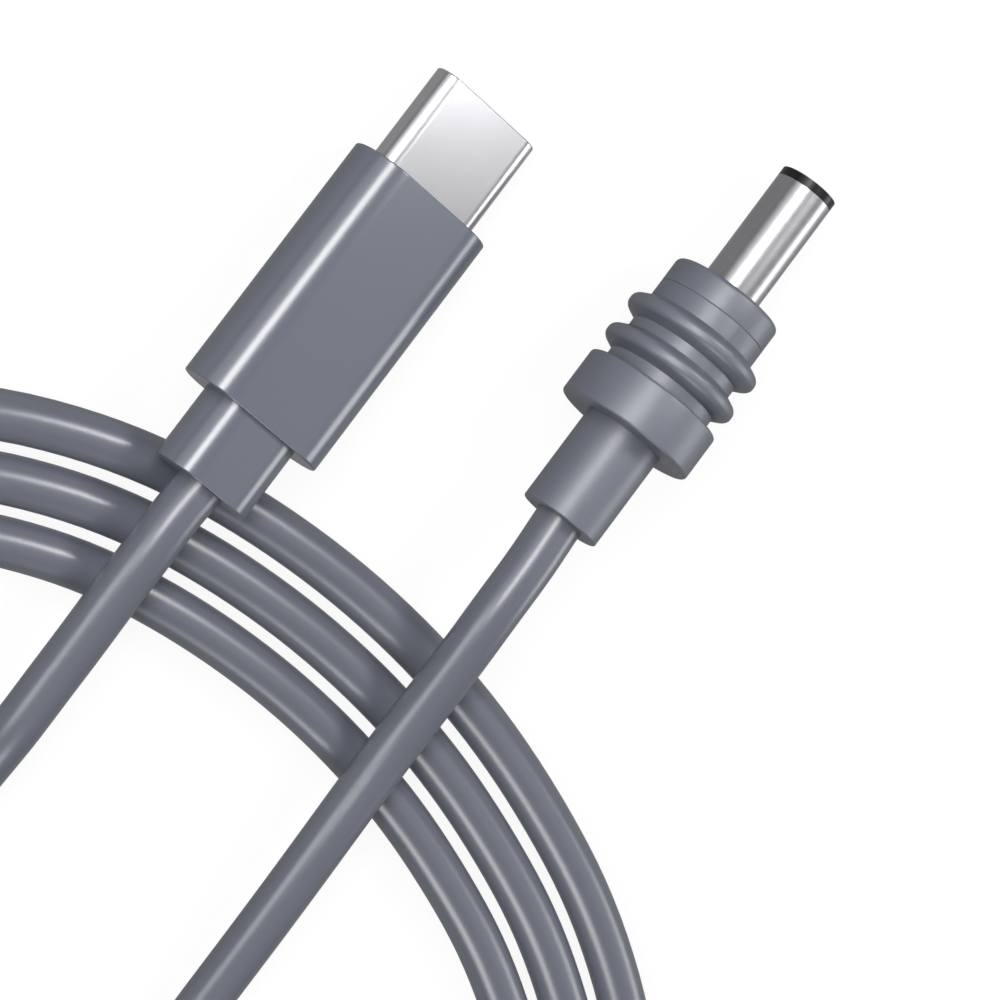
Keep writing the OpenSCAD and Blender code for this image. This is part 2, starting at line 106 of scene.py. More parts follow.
def add_node(
    tree: bpy.types.NodeTree,
    kind: str,
    settings: dict[str, Any] | None = None,
    links: dict[str | int, Any] | None = None,
) -> bpy.types.Node:
    """Adds a node with its settings and its inputs.

    Args:
        tree: The tree that takes the node.
        kind: Blender's name of the node type.
        settings: Properties of the node.
        links: Inputs by name or number: an output socket is linked, anything else is a value.

    Returns:
        The new node.
    """
    node = tree.nodes.new(kind)
    for key, value in (settings or {}).items():
        setattr(node, key, value)
    for key, value in (links or {}).items():
        socket = node.inputs[key]
        if isinstance(value, bpy.types.NodeSocket):
            tree.links.new(value, socket)
        else:
            socket.default_value = value
    return node


class Pattern(Enum):
    """How a surface's fine pattern runs."""

    GRAIN = "even grain"
    DRAWN = "lines along the plug"
    TURNED = "lines round the plug"


@dataclass(frozen=True)
class Finish:
    """A material: what it is, how its surface was made and what that gives the eye.

    Attributes:
        name: Common name of the material and its making.
        slot: The record's slot that the finish belongs to; not used.
        colour: Main sRGB colour.
        shade: Second colour, mixed in softly.
        roughness: Roughness of the surface.
        metallic: 1 for a metal, else 0.
        pattern: How the fine pattern runs.
        pattern_mm: Size of the pattern in millimetres.
        relief_mm: Height of the pattern in millimetres.
        sheen_spread: How far the pattern moves the roughness up and down.
        shine: Strength of the plain reflection, 0.5 for common plastic.
    """

    name: str
    slot: str
    colour: str
    shade: str
    roughness: float
    metallic: float = 0.0
    pattern: Pattern = Pattern.GRAIN
    pattern_mm: float = 0.25
    relief_mm: float = 0.0015
    sheen_spread: float = 0.03
    shine: float = 0.5

    def stretch(self) -> tuple[float, float, float]:
        """Gives the pattern's scale along X, Y and Z."""
        fine = 1 / (self.pattern_mm * MM)
        if self.pattern is Pattern.DRAWN:
            return fine / DRAWN_STRETCH, fine, fine
        if self.pattern is Pattern.TURNED:
            return fine, fine / TURNED_STRETCH, fine / TURNED_STRETCH
        return fine, fine, fine

    def material(self) -> bpy.types.Material:
        """Makes the material, or gives back the one made before.

        Returns:
            The node material of this finish.
        """
        made = bpy.data.materials.get(self.name)
        if made:
            return made
        made = bpy.data.materials.new(self.name)
        made.use_nodes = True
        tree = made.node_tree
        tree.nodes.clear()
        place = add_node(tree, "ShaderNodeTexCoord")
        fine = add_node(
            tree,
            "ShaderNodeMapping",
            links={"Vector": place.outputs["Object"], "Scale": self.stretch()},
        )
        grain = add_node(
            tree,
            "ShaderNodeTexNoise",
            links={"Vector": fine.outputs[0], "Scale": 1.0, "Detail": 3.0, "Roughness": 0.55},
        )
        cloud = add_node(
            tree,
            "ShaderNodeTexNoise",
            links={"Vector": place.outputs["Object"], "Scale": 1 / (CLOUD_MM * MM), "Detail": 2.0},
        )
        tint = add_node(
            tree,
            "ShaderNodeMix",
            {"data_type": "RGBA"},
            {"Factor": cloud.outputs["Fac"], "A": linear(self.colour), "B": linear(self.shade)},
        )
        gloss = add_node(
            tree,
            "ShaderNodeMapRange",
            links={
                "Value": grain.outputs["Fac"],
                "From Min": NOISE_LOW,
                "From Max": NOISE_HIGH,
                "To Min": self.roughness - self.sheen_spread,
                "To Max": self.roughness + self.sheen_spread,
            },
        )
        relief = add_node(
            tree,
            "ShaderNodeBump",
            links={
                "Height": grain.outputs["Fac"],
                "Distance": self.relief_mm * MM,
                "Strength": 1.0,
            },
        )
        shader = add_node(
            tree,
            "ShaderNodeBsdfPrincipled",
            links={
                "Base Color": tint.outputs["Result"],
                "Roughness": gloss.outputs["Result"],
                "Normal": relief.outputs["Normal"],
                "Metallic": self.metallic,
                "Specular IOR Level": self.shine,
            },
        )
        add_node(tree, "ShaderNodeOutputMaterial", links={"Surface": shader.outputs["BSDF"]})
        made.diffuse_color = linear(self.colour)
        return made


# Thermoplastic elastomer from a polished mould: a smooth satin skin with one narrow highlight
PLUG_MOULDING = Finish(
    "satin moulded elastomer",
    "plug_moulding",
    "#5E626D",
    "#60646F",
    0.24,
    relief_mm=0.0003,
    sheen_spread=0.01,
    shine=1.0,
)
# The same elastomer from a duller, spark-eroded mould: broad and soft highlights
DC_MOULDING = Finish(
    "matt moulded elastomer",
    "dc_moulding",
    "#5E616C",
    "#60636E",
    0.44,
    relief_mm=0.0005,
    sheen_spread=0.02,
    shine=1.0,
)
# PVC jacket drawn through a die: smooth, with a soft highlight along its length
CABLE_JACKET = Finish(
    "extruded PVC jacket",
    "cable_jacket",
    "#5F626C",
    "#61646F",
    0.31,
    pattern_mm=0.4,
    relief_mm=0.0002,
    sheen_spread=0.01,
    shine=0.9,
)
# Deep-drawn steel, tumbled and nickel plated: pale grey with soft blurred reflections
SHELL_METAL = Finish(
    "tumbled nickel plate",
    "steel_shell",
    "#D2D2D5",
    "#CECED2",
    0.31,
    metallic=1.0,
    pattern=Pattern.DRAWN,
    pattern_mm=0.12,
    relief_mm=0.00004,
    sheen_spread=0.015,
)
# Brass tube turned and plated with bright nickel: sharp light and dark bands along the barrel
BARREL_METAL = Finish(
    "bright turned nickel plate",
    "barrel_metal",
    "#B6B6B9",
    "#B1B1B5",
    0.34,
    metallic=1.0,
    pattern=Pattern.TURNED,
    pattern_mm=0.08,
    relief_mm=0.0004,
    sheen_spread=0.04,
)
# Glass-filled nylon, moulded black: a dark semi-gloss
BLACK_PLASTIC = Finish(
    "black glass-filled nylon", "black_plastic", "#101114", "#15161A", 0.34, shine=0.35
)
# Phosphor bronze with a gold flash: warm and bright
CONTACT_GOLD = Finish(
    "gold-flashed bronze",
    "contact_gold",
    "#E0B95C",
    "#D6AE52",
    0.22,
    metallic=1.0,
    pattern_mm=0.1,
    relief_mm=0.0005,
)
# Cold-rolled spring steel, stamped: grey with fine rolling lines
SPRING_STEEL = Finish(
    "stamped spring steel",
    "spring_steel",
    "#B9BABC",
    "#AEB0B3",
    0.32,
    metallic=1.0,
    pattern=Pattern.DRAWN,
    pattern_mm=0.08,
    relief_mm=0.0006,
)
# Glass-epoxy laminate under green solder mask: smooth and slightly glossy
BOARD_LAMINATE = Finish("green solder mask", "board_laminate", "#2C5A3C", "#2F6342", 0.35)
# Sintered ceramic with tin ends: matt tan
CAPACITOR_CERAMIC = Finish("fired ceramic", "capacitor_ceramic", "#B9936C", "#C29C74", 0.55)
# Stamped brass, tinned: dull pale yellow metal
TAB_METAL = Finish("tinned brass", "tab_metal", "#C7A66B", "#BFA06A", 0.35, metallic=1.0)
# PVC wire insulation in the two usual colours
POSITIVE_WIRE = Finish("red wire insulation", "positive_wire", "#B03030", "#A82C2C", 0.4)
NEGATIVE_WIRE = Finish("black wire insulation", "negative_wire", "#202024", "#26262A", 0.4)
# Low-pressure polyamide moulding: waxy off-white
INNER_MOULD = Finish("low-pressure polyamide", "inner_mould", "#D9D5C8", "#D2CDBE", 0.5)


def stadium_ring(ring: Ring, per_end: int = 48) -> list[Vector]:
    """Gives the points of a flat oval with round ends, or of a circle.

    Args:
        ring: Place along the plug, width and thickness, in millimetres.
        per_end: Steps of each round end.

    Returns:
        Points round the ring, in millimetres.
    """
    x, width, thick = ring
    reach = (width - thick) / 2
    points = []
    for side in (0, 1):
        for i in range(per_end + 1):
            angle = math.pi * (i / per_end - 0.5 + side)
            shift = reach if side == 0 else -reach
            across = shift + thick / 2 * math.cos(angle)
            points.append(Vector((x, across, thick / 2 * math.sin(angle))))
    return points


def rim(
    x: float, width: float, thick: float, radius: float, front: bool, steps: int = 5
) -> list[Ring]:
    """Gives the rings of a rounded edge between a plug's side and an end face.

    Args:
        x: Place of the end face.
        width: Width of the section behind the edge.
        thick: Thickness of the section behind the edge.
        radius: Radius of the rounding.
        front: True where the face looks to the tip, and the rings run from the side to the face.
        steps: Steps of the rounding.

    Returns:
        Rings in the order in which they run along +X, side and face included.
    """
    rings = []
    for i in range(steps + 1):
        turn = math.pi / 2 * i / steps
        inset = radius * (1 - math.cos(turn))
        depth = radius * (1 - math.sin(turn))
        rings.append((x - depth if front else x + depth, width - 2 * inset, thick - 2 * inset))
    return rings if front else rings[::-1]


def loft(
    name: str, rings: Sequence[Ring], place: Matrix, sharp_deg: float = 32.0
) -> bpy.types.Object:
    """Makes a closed skin through rings, the last joined to the first.

    Args:
        name: Name of the new object.
        rings: Sections in order along the skin: out along the outside and back through the bore.
        place: Turns the plug's millimetres into the row's metres.
        sharp_deg: Edges that turn more than this stay sharp.

    Returns:
        The object, at the origin.
    """
    shape = bmesh.new()
    loops = [[shape.verts.new(place @ p) for p in stadium_ring(ring)] for ring in rings]
    for near, far in zip(loops, loops[1:] + loops[:1]):
        for i in range(len(near)):
            j = (i + 1) % len(near)
            shape.faces.new((near[i], near[j], far[j], far[i]))
    bmesh.ops.remove_doubles(shape, verts=shape.verts, dist=MERGE_DISTANCE)
    bmesh.ops.recalc_face_normals(shape, faces=shape.faces)
    mesh = bpy.data.meshes.new(name)
    shape.to_mesh(mesh)
    shape.free()
    mesh.polygons.foreach_set("use_smooth", [True] * len(mesh.polygons))
    mesh.set_sharp_from_angle(angle=math.radians(sharp_deg))
    made = bpy.data.objects.new(name, mesh)
    bpy.context.scene.collection.objects.link(made)
    return made


def rib_tree() -> bpy.types.NodeTree:
    """Makes the node tree that sets evenly spaced copies of a rib on a sleeve along X.

    Returns:
        The tree, with named inputs for the rib, the number of copies and their places.
    """
    tree = bpy.data.node_groups.new("sealing_ribs", "GeometryNodeTree")
    for name, kind in (
        ("Geometry", "Geometry"),
        ("Rib", "Object"),
        ("Count", "Int"),
        ("First", "Float"),
        ("Pitch", "Float"),
        ("Material", "Material"),
    ):
        tree.interface.new_socket(name, in_out="INPUT", socket_type=f"NodeSocket{kind}")
    tree.interface.new_socket("Geometry", in_out="OUTPUT", socket_type="NodeSocketGeometry")
    given = add_node(tree, "NodeGroupInput").outputs
    start = add_node(tree, "ShaderNodeCombineXYZ", links={"X": given["First"]})
    step = add_node(tree, "ShaderNodeCombineXYZ", links={"X": given["Pitch"]})
    row = add_node(
        tree,
        "GeometryNodeMeshLine",
        links={
            "Count": given["Count"],
            "Start Location": start.outputs[0],
            "Offset": step.outputs[0],
        },
    )
    rib = add_node(tree, "GeometryNodeObjectInfo", links={"Object": given["Rib"]})
    copies = add_node(
        tree,
        "GeometryNodeInstanceOnPoints",
        links={"Points": row.outputs[0], "Instance": rib.outputs["Geometry"]},
    )
    joined = add_node(tree, "GeometryNodeJoinGeometry", links={0: given["Geometry"]})
    tree.links.new(copies.outputs[0], joined.inputs[0])
    real = add_node(tree, "GeometryNodeRealizeInstances", links={"Geometry": joined.outputs[0]})
    clad = add_node(
        tree,
        "GeometryNodeSetMaterial",
        links={"Geometry": real.outputs[0], "Material": given["Material"]},
    )
    add_node(tree, "NodeGroupOutput", links={"Geometry": clad.outputs[0]})
    return tree


def apply_tree(
    piece: bpy.types.Object, tree: bpy.types.NodeTree, values: dict[str, Any], finish: Finish
) -> bpy.types.Object:
    """Runs a node tree on a piece and keeps the result as a plain mesh.

    Args:
        piece: The piece that the tree works on.
        tree: The tree.
        values: The tree's inputs by name.
        finish: Finish for the tree's Material input.

    Returns:
        The piece with its new mesh.
    """
    step = piece.modifiers.new(tree.name, "NODES")
    step.node_group = tree
    for item in tree.interface.items_tree:
        if item.in_out == "INPUT" and item.name in values:
            step[item.identifier] = values[item.name]
        elif item.in_out == "INPUT" and item.name == "Material":
            step[item.identifier] = finish.material()
    seen = piece.evaluated_get(bpy.context.evaluated_depsgraph_get())
    mesh = bpy.data.meshes.new_from_object(seen)
    piece.modifiers.remove(step)
    piece.data = mesh
    return piece


def dress(piece: bpy.types.Object, finish: Finish, replaced: Iterable[str] = ()) -> None:
    """Gives a new piece its finish and its body, and hides the CAD nodes that it replaces.

    Args:
        piece: The new object.
        finish: Its finish.
        replaced: CAD nodes that it replaces.
    """
    piece.data.materials.clear()
    piece.data.materials.append(finish.material())
    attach(piece, BODY)
    for node in replaced:
        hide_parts(node)
    LOG.info("made %s in %s", piece.name, finish.name)


def coat_node(frame: dict[str, Any], node: str, finish: Finish) -> None:
    """Gives a CAD node its finish.

    Args:
        frame: The loaded frame.
        node: Name of the node.
        finish: Its finish.
    """
    mesh = frame["nodes"][node].data
    mesh.materials.clear()
    mesh.materials.append(finish.material())
    LOG.info("finished %s in %s", node, finish.name)


@dataclass
class PlugPlace:
    """Where a plug lies: the middle of its neck's rear face, in millimetres, and its dip.

    Attributes:
        x: Place along X.
        y: Place along Y.
        z: Height above the floor.
        dip_deg: Angle by which the plug dips towards its tip.
    """

    x: float
    y: float
    z: float
    dip_deg: float = 8.0

    def matrix(self) -> Matrix:
        """Gives the matrix from the plug's millimetres to the row's metres."""
        turn = Matrix.Rotation(math.radians(self.dip_deg), 4, "Y")
        return Matrix.Scale(MM, 4) @ Matrix.Translation((self.x, self.y, self.z)) @ turn

    def on_axis(self, along: float) -> Vector:
        """Gives the place on the plug's axis at a distance from its rear, in millimetres."""
        return self.matrix() @ Vector((along, 0, 0)) / MM


@dataclass(frozen=True)
class Lamp:
    """An area lamp that looks at the object.

    Attributes:
        name: Name of the lamp.
        spot: Its place, in millimetres.
        size: Its width and height, in millimetres.
        power: Its power in watts.
        square: True where it looks straight across the plugs, and not at the picture's middle.
    """

    name: str
    spot: Point
    size: tuple[float, float]
    power: float
    square: bool = False


@dataclass
class Studio:
    """Camera, floor and light.

    Attributes:
        target: Point on the floor in the middle of the picture, in millimetres.
        distance: Distance from the camera to that point, in millimetres.
        tilt_deg: Lean of the view from straight down, towards +Y.
        roll_deg: Turn of the picture about the line of sight.
        lens: Focal length for a 36 mm sensor.
        floor_glow: Share of the floor's look that no shadow dims.
        floor_mirror: Brightness of the floor in shiny surfaces.
        floor_half: Half the side of the floor, in metres.
        floor_drop: How far the floor lies under the object, in millimetres.
        sky_side: Direction in which the world is brightest.
        sky_range: Closeness to that direction at which the world starts and stops to grow lighter.
        sky_dark: Strength of the world away from that direction.
        sky_light: Strength of the world in that direction.
    """

    target: Point = (-8.264, -9.7, 0.0)
    distance: float = 320.0
    tilt_deg: float = 28.0
    roll_deg: float = 49.4
    lens: float = 180.3
    floor_glow: float = 0.92
    floor_mirror: float = 0.35
    floor_half: float = 1.5
    floor_drop: float = 0.05
    sky_side: Point = (0.1, 0.2, 0.97)
    sky_range: tuple[float, float] = (-0.2, 0.9)
    sky_dark: float = 0.0
    sky_light: float = 0.05

    LAMPS = (
        # High strip box on the camera's side, for the bright band where each round side begins
        Lamp("key", (120, 305, 445), (560, 150), 3.1, square=True),
        # Dim soft box below it, that the barrel's near side shows
        Lamp("barrel_fill", (120, 430, 240), (480, 240), 0.3, square=True),
        # Soft box beside them, for the bands on the uncoiled leads
        Lamp("lead_key", (-290, 400, 265), (240, 220), 0.7, square=True),
        # Low soft box across from them, for the thin second band on the plugs
        Lamp("rim", (140, -470, 175), (320, 180), 0.8, square=True),
        # Dim soft box that the flat of the steel shell shows
        Lamp("shell_fill", (150, -290, 520), (420, 300), 0.13),
        # Soft boxes past the tips and behind, for the bands on the coil's two visible sides
        Lamp("coil_front", (335, -103, 395), (140, 140), 1.05),
        Lamp("coil_rear", (-475, -155, 290), (200, 200), 0.85),
    )

    def camera(self) -> None:
        """Makes the camera at the photograph's viewing angle."""
        tilt = math.radians(self.tilt_deg)
        roll = math.radians(self.roll_deg)
        back = Vector((0, math.sin(tilt), math.cos(tilt)))
        along = Vector((1, 0, 0))
        across = back.cross(along)
        right = math.cos(roll) * along - math.sin(roll) * across
        up = math.sin(roll) * along + math.cos(roll) * across
        data = bpy.data.cameras.new("camera")
        data.lens = self.lens
        data.sensor_width = 36.0
        data.clip_start = 0.01
        data.clip_end = 20.0
        camera = bpy.data.objects.new("camera", data)
        spot = (Vector(self.target) + back * self.distance) * MM
        turn = Matrix((right, up, back)).transposed().to_4x4()
        camera.matrix_world = Matrix.Translation(spot) @ turn
        bpy.context.scene.collection.objects.link(camera)
        bpy.context.scene.camera = camera

    def floor(self) -> None:
        """Makes the floor: white to camera, glossy and clear rays, and it keeps the shadow."""
        half = self.floor_half
        corners = [(-half, -half, 0), (half, -half, 0), (half, half, 0), (-half, half, 0)]
        mesh = bpy.data.meshes.new("floor")
        mesh.from_pydata(corners, [], [(0, 1, 2, 3)])
        floor = bpy.data.objects.new("floor", mesh)
        floor.location.z = -self.floor_drop * MM
        floor.visible_diffuse = False
        bpy.context.scene.collection.objects.link(floor)
        pale = bpy.data.materials.new("white paper sweep")
        pale.use_nodes = True
        tree = pale.node_tree
        tree.nodes.clear()
        path = add_node(tree, "ShaderNodeLightPath").outputs
        shiny = add_node(
            tree,
            "ShaderNodeMath",
            {"operation": "MAXIMUM"},
            {0: path["Is Glossy Ray"], 1: path["Is Transmission Ray"]},
        )
        share = add_node(
            tree,
            "ShaderNodeMath",
            {"operation": "MULTIPLY_ADD"},
            {0: path["Is Camera Ray"], 1: self.floor_glow, 2: shiny.outputs[0]},
        )
        level = add_node(
            tree,
            "ShaderNodeMapRange",
            links={"Value": path["Is Camera Ray"], "To Min": self.floor_mirror, "To Max": 1.0},
        )
        paper = add_node(tree, "ShaderNodeBsdfDiffuse", links={"Color": linear("#F2F2F2")})
        glow = add_node(
            tree,
            "ShaderNodeEmission",
            links={"Color": linear("#FFFFFF"), "Strength": level.outputs["Result"]},
        )
        both = add_node(
            tree,
            "ShaderNodeMixShader",
            links={0: share.outputs[0], 1: paper.outputs[0], 2: glow.outputs[0]},
        )
        add_node(tree, "ShaderNodeOutputMaterial", links={"Surface": both.outputs[0]})
        mesh.materials.append(pale)

    def world(self) -> None:
        """Makes the world: softly lit from above and dark at the sides and below."""
        world = bpy.data.worlds.new("studio")
        bpy.context.scene.world = world
        world.use_nodes = True
        tree = world.node_tree
        tree.nodes.clear()
        place = add_node(tree, "ShaderNodeTexCoord")
        near = add_node(
            tree,
            "ShaderNodeVectorMath",
            {"operation": "DOT_PRODUCT"},
            {0: place.outputs["Generated"], 1: self.sky_side},
        )
        level = add_node(
            tree,
            "ShaderNodeMapRange",
            {"interpolation_type": "SMOOTHSTEP"},
            {
                "Value": near.outputs["Value"],
                "From Min": self.sky_range[0],
                "From Max": self.sky_range[1],
                "To Min": self.sky_dark,
                "To Max": self.sky_light,
            },
        )
        light = add_node(
            tree,
            "ShaderNodeBackground",
            links={"Color": linear("#FFFFFF"), "Strength": level.outputs["Result"]},
        )
        add_node(tree, "ShaderNodeOutputWorld", links={"Surface": light.outputs[0]})

    def lamp(self, lamp: Lamp) -> None:
        """Makes one lamp.

        Args:
            lamp: Its sizes.
        """
        data = bpy.data.lights.new(lamp.name, "AREA")
        data.shape = "RECTANGLE"
        data.size = lamp.size[0] * MM
        data.size_y = lamp.size[1] * MM
        data.energy = lamp.power
        made = bpy.data.objects.new(lamp.name, data)
        made.location = Vector(lamp.spot) * MM
        look = Vector(self.target) - Vector(lamp.spot)
        if lamp.square:
            look.x = 0.0
        made.rotation_euler = look.to_track_quat("-Z", "Y").to_euler()
        bpy.context.scene.collection.objects.link(made)

    def build(self) -> None:
        """Makes the whole studio."""
        self.camera()
        self.floor()
        self.world()
        for lamp in self.LAMPS:
            self.lamp(lamp)
        bpy.context.scene.view_settings.view_transform = "Standard"
        LOG.info("studio ready")


USB_PLACE = PlugPlace(-19.574, 9.775, 5.819)
DC_PLACE = PlugPlace(-6.824, -10.225, 6.80689)


@dataclass
class Cable:
    """The cable: two uncoiled stretches and the flat coil between them.

    Attributes:
        diameter: Diameter of the cable, in millimetres.
        length: Its whole length, in metres; not used.
        coil_pitch: Distance from one turn to the next.
        coil_start: Step along the coil where it starts.
        coil_end: Step along the coil where it ends.
        usb_inside: How far the cable reaches into the USB plug.
        dc_inside: How far the cable reaches into the DC plug.
    """

    diameter: float = 3.2
    length: float = 0.68
    coil_pitch: float = 3.9
    coil_start: int = -9
    coil_end: int = 77
    usb_inside: float = 5.6
    dc_inside: float = 5.1

    # Points of the coil's inner turn, clockwise, in millimetres
    COIL_LOOP = (
        (-27.1, -14.5), (-28.2, -19.4), (-29.7, -24.3), (-31.5, -29), (-33.8, -33.5),
        (-36.6, -37.7), (-40.3, -41.1), (-44.8, -43.3), (-49.8, -44.1), (-54.8, -43.4),
        (-59.4, -41.4), (-63.2, -38.1), (-66, -33.8), (-67.3, -29), (-67.3, -24),
        (-66.4, -19), (-65.5, -14), (-64.6, -9), (-63.7, -4), (-62.8, 0.9),
        (-61.9, 5.9), (-61, 10.9), (-59.9, 15.8), (-57.6, 20.3), (-54, 23.8),
        (-49.5, 26.1), (-44.5, 26.8), (-39.5, 25.9), (-35.1, 23.5), (-31.6, 19.9),
        (-29.3, 15.4), (-27.7, 10.6), (-26.7, 5.6), (-26.2, 0.6), (-26.1, -4.4),
        (-26.4, -9.5),
    )  # fmt: skip
    # Points of the stretch from the USB plug to the coil, in millimetres
    USB_ROUTE = (
        (-21.7, 9.85, 6), (-24.2, 9.65, 5.95), (-27.2, 9.3, 5.6), (-31.2, 8.7, 5),
        (-35.2, 8.1, 4.3), (-38.6, 7.55, 3.6), (-42, 6.9, 2.4), (-45.6, 6.5, 1.7),
        (-49.5, 7.3, 1.6), (-52.8, 9.8, 1.6), (-54.8, 13.5, 1.6), (-55, 17.6, 1.6),
        (-53.3, 21.4, 1.6), (-50.2, 24.1, 1.6), (-46.2, 25.4, 1.6),
    )  # fmt: skip
    # Points of the stretch from the DC plug to the coil, in millimetres
    DC_ROUTE = (
        (-9.7, -10.45, 7.12), (-13.2, -10.75, 7.15), (-17.2, -11.4, 6.6), (-21.2, -12.1, 5.8),
        (-25.2, -12.7, 5.2), (-29.2, -13.2, 4.9), (-36.2, -14.2, 4.2), (-43.6, -15.4, 3),
        (-50, -16.5, 2.2), (-55.6, -18, 2.6), (-60.8, -21, 3.8), (-64.8, -25.6, 4.8),
        (-66.8, -31.4, 5), (-66.4, -37.6, 5), (-63.6, -43.6, 5), (-58.8, -48.4, 5),
        (-52.6, -51.6, 4.95), (-46.2, -52.6, 3.9), (-40.2, -51, 2.5), (-35, -47.8, 1.8),
    )  # fmt: skip

    def coil_point(self, step: int) -> Vector:
        """Gives the place on the coil after a number of steps along it, in millimetres."""
        count = len(self.COIL_LOOP)
        before, here, after = (Vector(self.COIL_LOOP[(step + i) % count]) for i in (-1, 0, 1))
        ahead = (after - before).normalized()
        grow = self.coil_pitch * step / count
        return Vector((here.x - grow * ahead.y, here.y + grow * ahead.x, self.diameter / 2))

    def knots(self) -> list[Vector]:
        """Gives the points that the cable runs through, from plug to plug, in millimetres."""
        return [
            USB_PLACE.on_axis(self.usb_inside),
            USB_PLACE.on_axis(0),
            *[Vector(p) for p in self.USB_ROUTE],
            *[self.coil_point(i) for i in range(self.coil_start, self.coil_end + 1)],
            *[Vector(p) for p in reversed(self.DC_ROUTE)],
            DC_PLACE.on_axis(0),
            DC_PLACE.on_axis(self.dc_inside),
        ]

    @staticmethod
    def smooth(knots: Sequence[Vector], steps: int = 4) -> list[Vector]:
        """Runs a curve through points whose bend changes evenly, as a springy cable's does.

        Args:
            knots: The points.
            steps: New points for each stretch between two of them.

        Returns:
            The finer points.
        """
        gaps = [(b - a).length for a, b in zip(knots, knots[1:])]
        slopes = [(b - a) / g for a, b, g in zip(knots, knots[1:], gaps)]
        share = [0.0]
        pull = [Vector((0, 0, 0))]
        for i in range(1, len(gaps)):
            weight = 2 * (gaps[i - 1] + gaps[i]) - gaps[i - 1] * share[-1]
            pull.append((6 * (slopes[i] - slopes[i - 1]) - gaps[i - 1] * pull[-1]) / weight)
            share.append(gaps[i] / weight)
        bends = [Vector((0, 0, 0))]
        for part, force in zip(reversed(share), reversed(pull)):
            bends.append(force - part * bends[-1])
        bends.reverse()
        fine = []
        for i, gap in enumerate(gaps):
            for k in range(steps):
                u = k / steps
                v = 1 - u
                sag = ((v**3 - v) * bends[i] + (u**3 - u) * bends[i + 1]) * gap**2 / 6
                fine.append(knots[i] * v + knots[i + 1] * u + sag)
        return [*fine, knots[-1]]

    def build(self) -> bpy.types.Object:
        """Returns:
            The cable.
        """
        data = bpy.data.curves.new("cable", "CURVE")
        data.dimensions = "3D"
        data.bevel_depth = self.diameter / 2 * MM
        data.bevel_resolution = 10
        data.use_fill_caps = True
        points = self.smooth(self.knots())
        line = data.splines.new("POLY")
        line.points.add(len(points) - 1)
        for spot, p in zip(line.points, points):
            spot.co = (*(p * MM), 1.0)
        line.use_smooth = True
        cable = bpy.data.objects.new("cable", data)
        bpy.context.scene.collection.objects.link(cable)
        dress(cable, CABLE_JACKET, ("usb_lead", "cable_coil", "dc_lead"))
        return cable


@dataclass
class UsbPlug:
    """The USB-C plug: overmould, shell and contacts, in millimetres from the rear of its neck.

    In the names, l is a length, w a width, t a thickness and d a diameter. An edge is the radius of
    a rounding, the core is the room for the inner mould and the jacket ends inside the plug.
    """

    neck_l: float = 5.1
    neck_w: float = 7.0
    neck_t: float = 4.6
    body_l: float = 17.5
    body_w: float = 10.6
    body_t: float = 5.4
    core_w: float = 8.6
    core_t: float = 3.8
    jacket_end: float = 5.7
    bore_d: float = 3.24
    shell_w: float = 8.25
    shell_t: float = 2.4
    shell_wall: float = 0.3
    shell_out: float = 6.8
    shell_in: float = 5.2
    gap: float = 0.02
    edge: float = 0.12
    neck_edge: float = 0.1
    shell_edge: float = 0.1

    INSIDE = {
        "usb_contact_block": BLACK_PLASTIC,
        "usb_upper_contacts": CONTACT_GOLD,
        "usb_lower_contacts": CONTACT_GOLD,
        "usb_latch_plate": SPRING_STEEL,
        "usb_ground_springs": SPRING_STEEL,
        "usb_board": BOARD_LAMINATE,
        "usb_pd_chip": BLACK_PLASTIC,
        "usb_capacitors": CAPACITOR_CERAMIC,
        "usb_positive_wire": POSITIVE_WIRE,
        "usb_negative_wire": NEGATIVE_WIRE,
        "usb_inner_mould": INNER_MOULD,
    }

    @property
    def front(self) -> float:
        """Front face of the housing."""
        return self.neck_l + self.body_l

    def overmould(self) -> None:
        """Makes the housing and its neck as one moulding with softened edges."""
        shell_rear = self.front - self.shell_in
        hole_w = self.shell_w + 2 * self.gap
        hole_t = self.shell_t + 2 * self.gap
        core_w = self.core_w + 2 * self.gap
        core_t = self.core_t + 2 * self.gap
        rings = [
            *rim(0, self.neck_w, self.neck_t, self.neck_edge, front=False),
            (self.neck_l, self.neck_w, self.neck_t),
            *rim(self.neck_l, self.body_w, self.body_t, self.edge, front=False),
            *rim(self.front, self.body_w, self.body_t, self.edge, front=True),
            (self.front, hole_w, hole_t),
            (shell_rear, hole_w, hole_t),
            (shell_rear, core_w, core_t),
            (self.jacket_end, core_w, core_t),
            (self.jacket_end, self.bore_d, self.bore_d),
            (0, self.bore_d, self.bore_d),
        ]
        skin = loft("usb_overmould_skin", rings, USB_PLACE.matrix())
        dress(skin, PLUG_MOULDING, ["usb_overmould"])

    def shell(self) -> None:
        """Makes the drawn shell with rounded rims at its mouth."""
        rear = self.front - self.shell_in
        tip = self.front + self.shell_out
        inner_w = self.shell_w - 2 * self.shell_wall
        inner_t = self.shell_t - 2 * self.shell_wall
        rings = [
            (rear, self.shell_w, self.shell_t),
            *rim(tip, self.shell_w, self.shell_t, self.shell_edge, front=True),
            (tip, inner_w + 2 * self.shell_edge, inner_t + 2 * self.shell_edge),
            (tip - self.shell_edge, inner_w, inner_t),
            (rear, inner_w, inner_t),
        ]
        dress(loft("usb_shell_skin", rings, USB_PLACE.matrix()), SHELL_METAL, ["usb_shell"])

    def inside(self, frame: dict[str, Any]) -> None:
        """Finishes the pieces inside the plug.

        Args:
            frame: The loaded frame.
        """
        for node, finish in self.INSIDE.items():
            coat_node(frame, node, finish)

    def build(self, frame: dict[str, Any]) -> None:
        """Makes and finishes the whole plug.

        Args:
            frame: The loaded frame.
        """
        self.overmould()
        self.shell()
        self.inside(frame)


